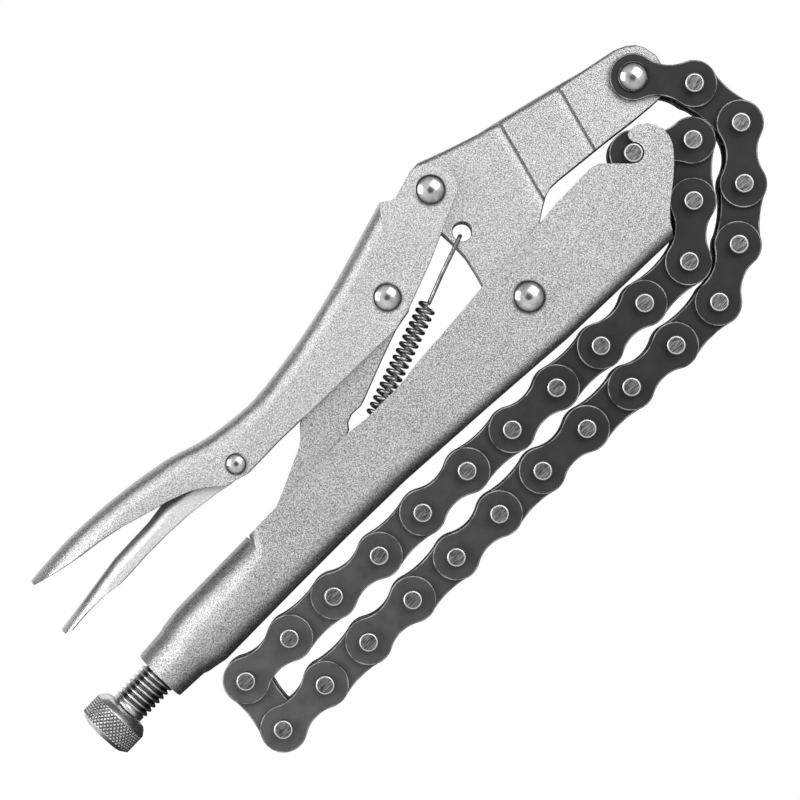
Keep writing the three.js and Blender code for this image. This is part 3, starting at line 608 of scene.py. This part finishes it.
def dumbbell(waist, inset=0.0, end_steps=40, flank_steps=14):
    """Outline of a chain plate: an arc round each pin, joined by hollow flanks that meet both ends smoothly.
    The flank's radius follows from the distance of its middle to the pin, which is the sum of both radii."""
    reach = CHAIN_PITCH / 2
    flank = (reach ** 2 + waist ** 2 - PLATE_END ** 2) / (2 * (PLATE_END - waist))
    opening = math.atan2(waist + flank, reach)
    turn = np.linspace(opening, 2 * math.pi - opening, end_steps)
    end = (PLATE_END - inset) * np.stack([np.cos(turn), np.sin(turn)], axis=1)
    spread = math.pi / 2 - opening
    sweep = np.linspace(math.pi / 2 + spread, math.pi / 2 - spread, flank_steps)[1:-1]
    arc = (flank + inset) * np.stack([np.cos(sweep), np.sin(sweep)], axis=1)
    half = np.concatenate([end, np.array([reach, -waist - flank]) + arc])
    return np.concatenate([half, np.array([CHAIN_PITCH, 0]) - half])


def plate_skin(low, high, waist):
    """A stamped plate: its outline carried from the lower to the upper face, with a rounded rim at both,
    and how much painted highlight each point gets."""
    turn = np.linspace(0, math.pi / 2, 4)
    rim_highlight = [PLATE_RIM + RIM_HIGHLIGHT_WIDTH, PLATE_RIM + 0.4 * RIM_HIGHLIGHT_WIDTH]
    inset = np.concatenate([rim_highlight, PLATE_RIM * (1 - np.sin(turn))])
    rise = np.concatenate([[0, 0], PLATE_RIM * (1 - np.cos(turn))])
    heights = np.concatenate([low + rise, (high - rise)[::-1]])
    outlines = [dumbbell(waist, i) for i in np.concatenate([inset, inset[::-1]])]
    around = len(outlines[0])
    rings = np.stack([np.column_stack([line, np.full(around, h)]) for line, h in zip(outlines, heights)])
    return skin_of_rings(rings), np.repeat(PLATE_SHINE + PLATE_SHINE[::-1], around)


def pin_skin(x, top, radius, bevel, around=40):
    """A pin or roller: an upright bar with a bevel at both ends, and how much painted highlight each of its
    points gets.
    """
    end = np.array([[radius - 1.4 * bevel, 0], [radius - 1.3 * bevel, 0], [radius - bevel, 0],
                    [radius - 0.3 * bevel, 0.2 * bevel], [radius, bevel]])
    profile = np.concatenate([[0, -top] + end, ([0, top] + end * [1, -1])[::-1]])
    rings = turned_rings(profile, around, (x, 0, 0))
    return skin_of_rings(rings), np.repeat(PIN_SHINE + PIN_SHINE[::-1], around)


def mixed_colour(add, share, first, second):
    """A colour that goes from the first to the second as the share goes from 0 to 1."""
    return add("ShaderNodeMix", {0: share, 6: first, 7: second}, data_type="RGBA").outputs[2]


def black_plate_steel():
    """Blackened plate steel: soft dark clouds, a fine tooth, a painted highlight along the rim, broken up
    in patches, and painted light that makes the plates paler towards the knob's end of the tool."""
    material, tree, shader, add = new_material("black_plate_steel")
    where = add("ShaderNodeTexCoord").outputs["Object"]
    rim = add("ShaderNodeAttribute", attribute_name="rim").outputs["Fac"]
    cloud = noise(add, where, 260.0, 5.0, 0.6)
    tooth = noise(add, where, 2600.0, 2.0, 0.5)
    # Painted highlight along the plates' rim, broken up in patches.
    rim_highlight = carried(add, product(add, rim, cloud), (0.3, 0.6), (0.0, 0.9))
    dark = carried(add, cloud, (0.3, 0.7), (0.042, 0.062))
    # Painted light: the plates are painted paler towards the knob's end of the tool.
    along = add("ShaderNodeSeparateXYZ", {0: where}).outputs["X"]
    fade = carried(add, along, (-0.09, 0.03), (2.9, 0.95))
    dress(tree, shader, 0.75, {
        "Base Color": mixed_colour(add, rim_highlight, grey(add, product(add, dark, fade)), (0.62, 0.62, 0.62, 1)),
        "Roughness": carried(add, cloud, (0.3, 0.7), (0.48, 0.62)),
        "Normal": bumps(add, tooth, 0.25, 0.00004),
    })
    return material


def pin_steel():
    """Riveted pin ends: grey steel scored by fine scratches, with a painted highlight ring round the cap."""
    material, tree, shader, add = new_material("pin_steel")
    where = add("ShaderNodeTexCoord").outputs["Object"]
    rim = add("ShaderNodeAttribute", attribute_name="rim").outputs["Fac"]
    drawn = add("ShaderNodeMapping", {"Vector": where, "Rotation": (0, 0, 0.9),
                                      "Scale": (1, 9, 1)}).outputs["Vector"]
    scratch = noise(add, drawn, 420.0, 5.0, 0.7)
    tone = carried(add, scratch, (0.40, 0.60), (0.05, 0.40))
    # Painted highlight: a bright ring on the bevel round the cap.
    ring = carried(add, rim, (0.6, 1.0), (0.0, 0.9))
    dress(tree, shader, 0.95, {
        "Base Color": mixed_colour(add, ring, grey(add, tone), (0.92, 0.92, 0.92, 1)),
        "Normal": bumps(add, scratch, 0.4, 0.00005),
    })
    shader.inputs["Roughness"].default_value = 0.36
    return material


plate_black = black_plate_steel()
pin_grey = pin_steel()
place = hinges["chain_pin_01"].copy()
outer_plates = [plate_skin(OUTER_LOW, OUTER_HIGH, OUTER_WAIST),
                plate_skin(-OUTER_HIGH, -OUTER_LOW, OUTER_WAIST)]
inner_plates = [plate_skin(INNER_LOW, INNER_HIGH, INNER_WAIST),
                plate_skin(-INNER_HIGH, -INNER_LOW, INNER_WAIST)]
outer_pins = [pin_skin(x, PIN_TOP, PIN_RADIUS, PIN_BEVEL) for x in (0, CHAIN_PITCH)]
rollers = [pin_skin(x, INNER_LOW, ROLLER_RADIUS, ROLLER_BEVEL) for x in (0, CHAIN_PITCH)]

for k, heading in enumerate(np.radians(LINK_HEADINGS), 1):
    cos, sin = math.cos(heading), math.sin(heading)
    spin = np.array([[cos, -sin, 0], [sin, cos, 0], [0, 0, 1]])
    is_inner = k % 2 == 0
    # The first link hangs on the chain rivet, which takes the place of its first pin.
    bars = rollers if is_inner else outer_pins[1 if k == 1 else 0:]
    parts = (inner_plates if is_inner else outer_plates) + bars
    move = np.array([place[0], place[1], TOOL_MIDDLE])
    skins = [(points @ spin.T + move, faces, smooth) for (points, faces, smooth), _ in parts]
    name = f"link_{k:02d}"
    mesh = join_skins(name, skins, {"rim": [rim for _, rim in parts]}, [0, 0] + [1] * len(bars))
    link = add_object(name, mesh, plate_black)
    mesh.materials.append(pin_grey)
    carriers = [run for run, (first, last) in LINK_RUNS.items() if first <= k <= last]
    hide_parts(f"chain_link_{k:02d}")
    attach(link, carriers[0] if carriers else f"chain_link_{k:02d}")
    place = place + CHAIN_PITCH * spin[:, 0]
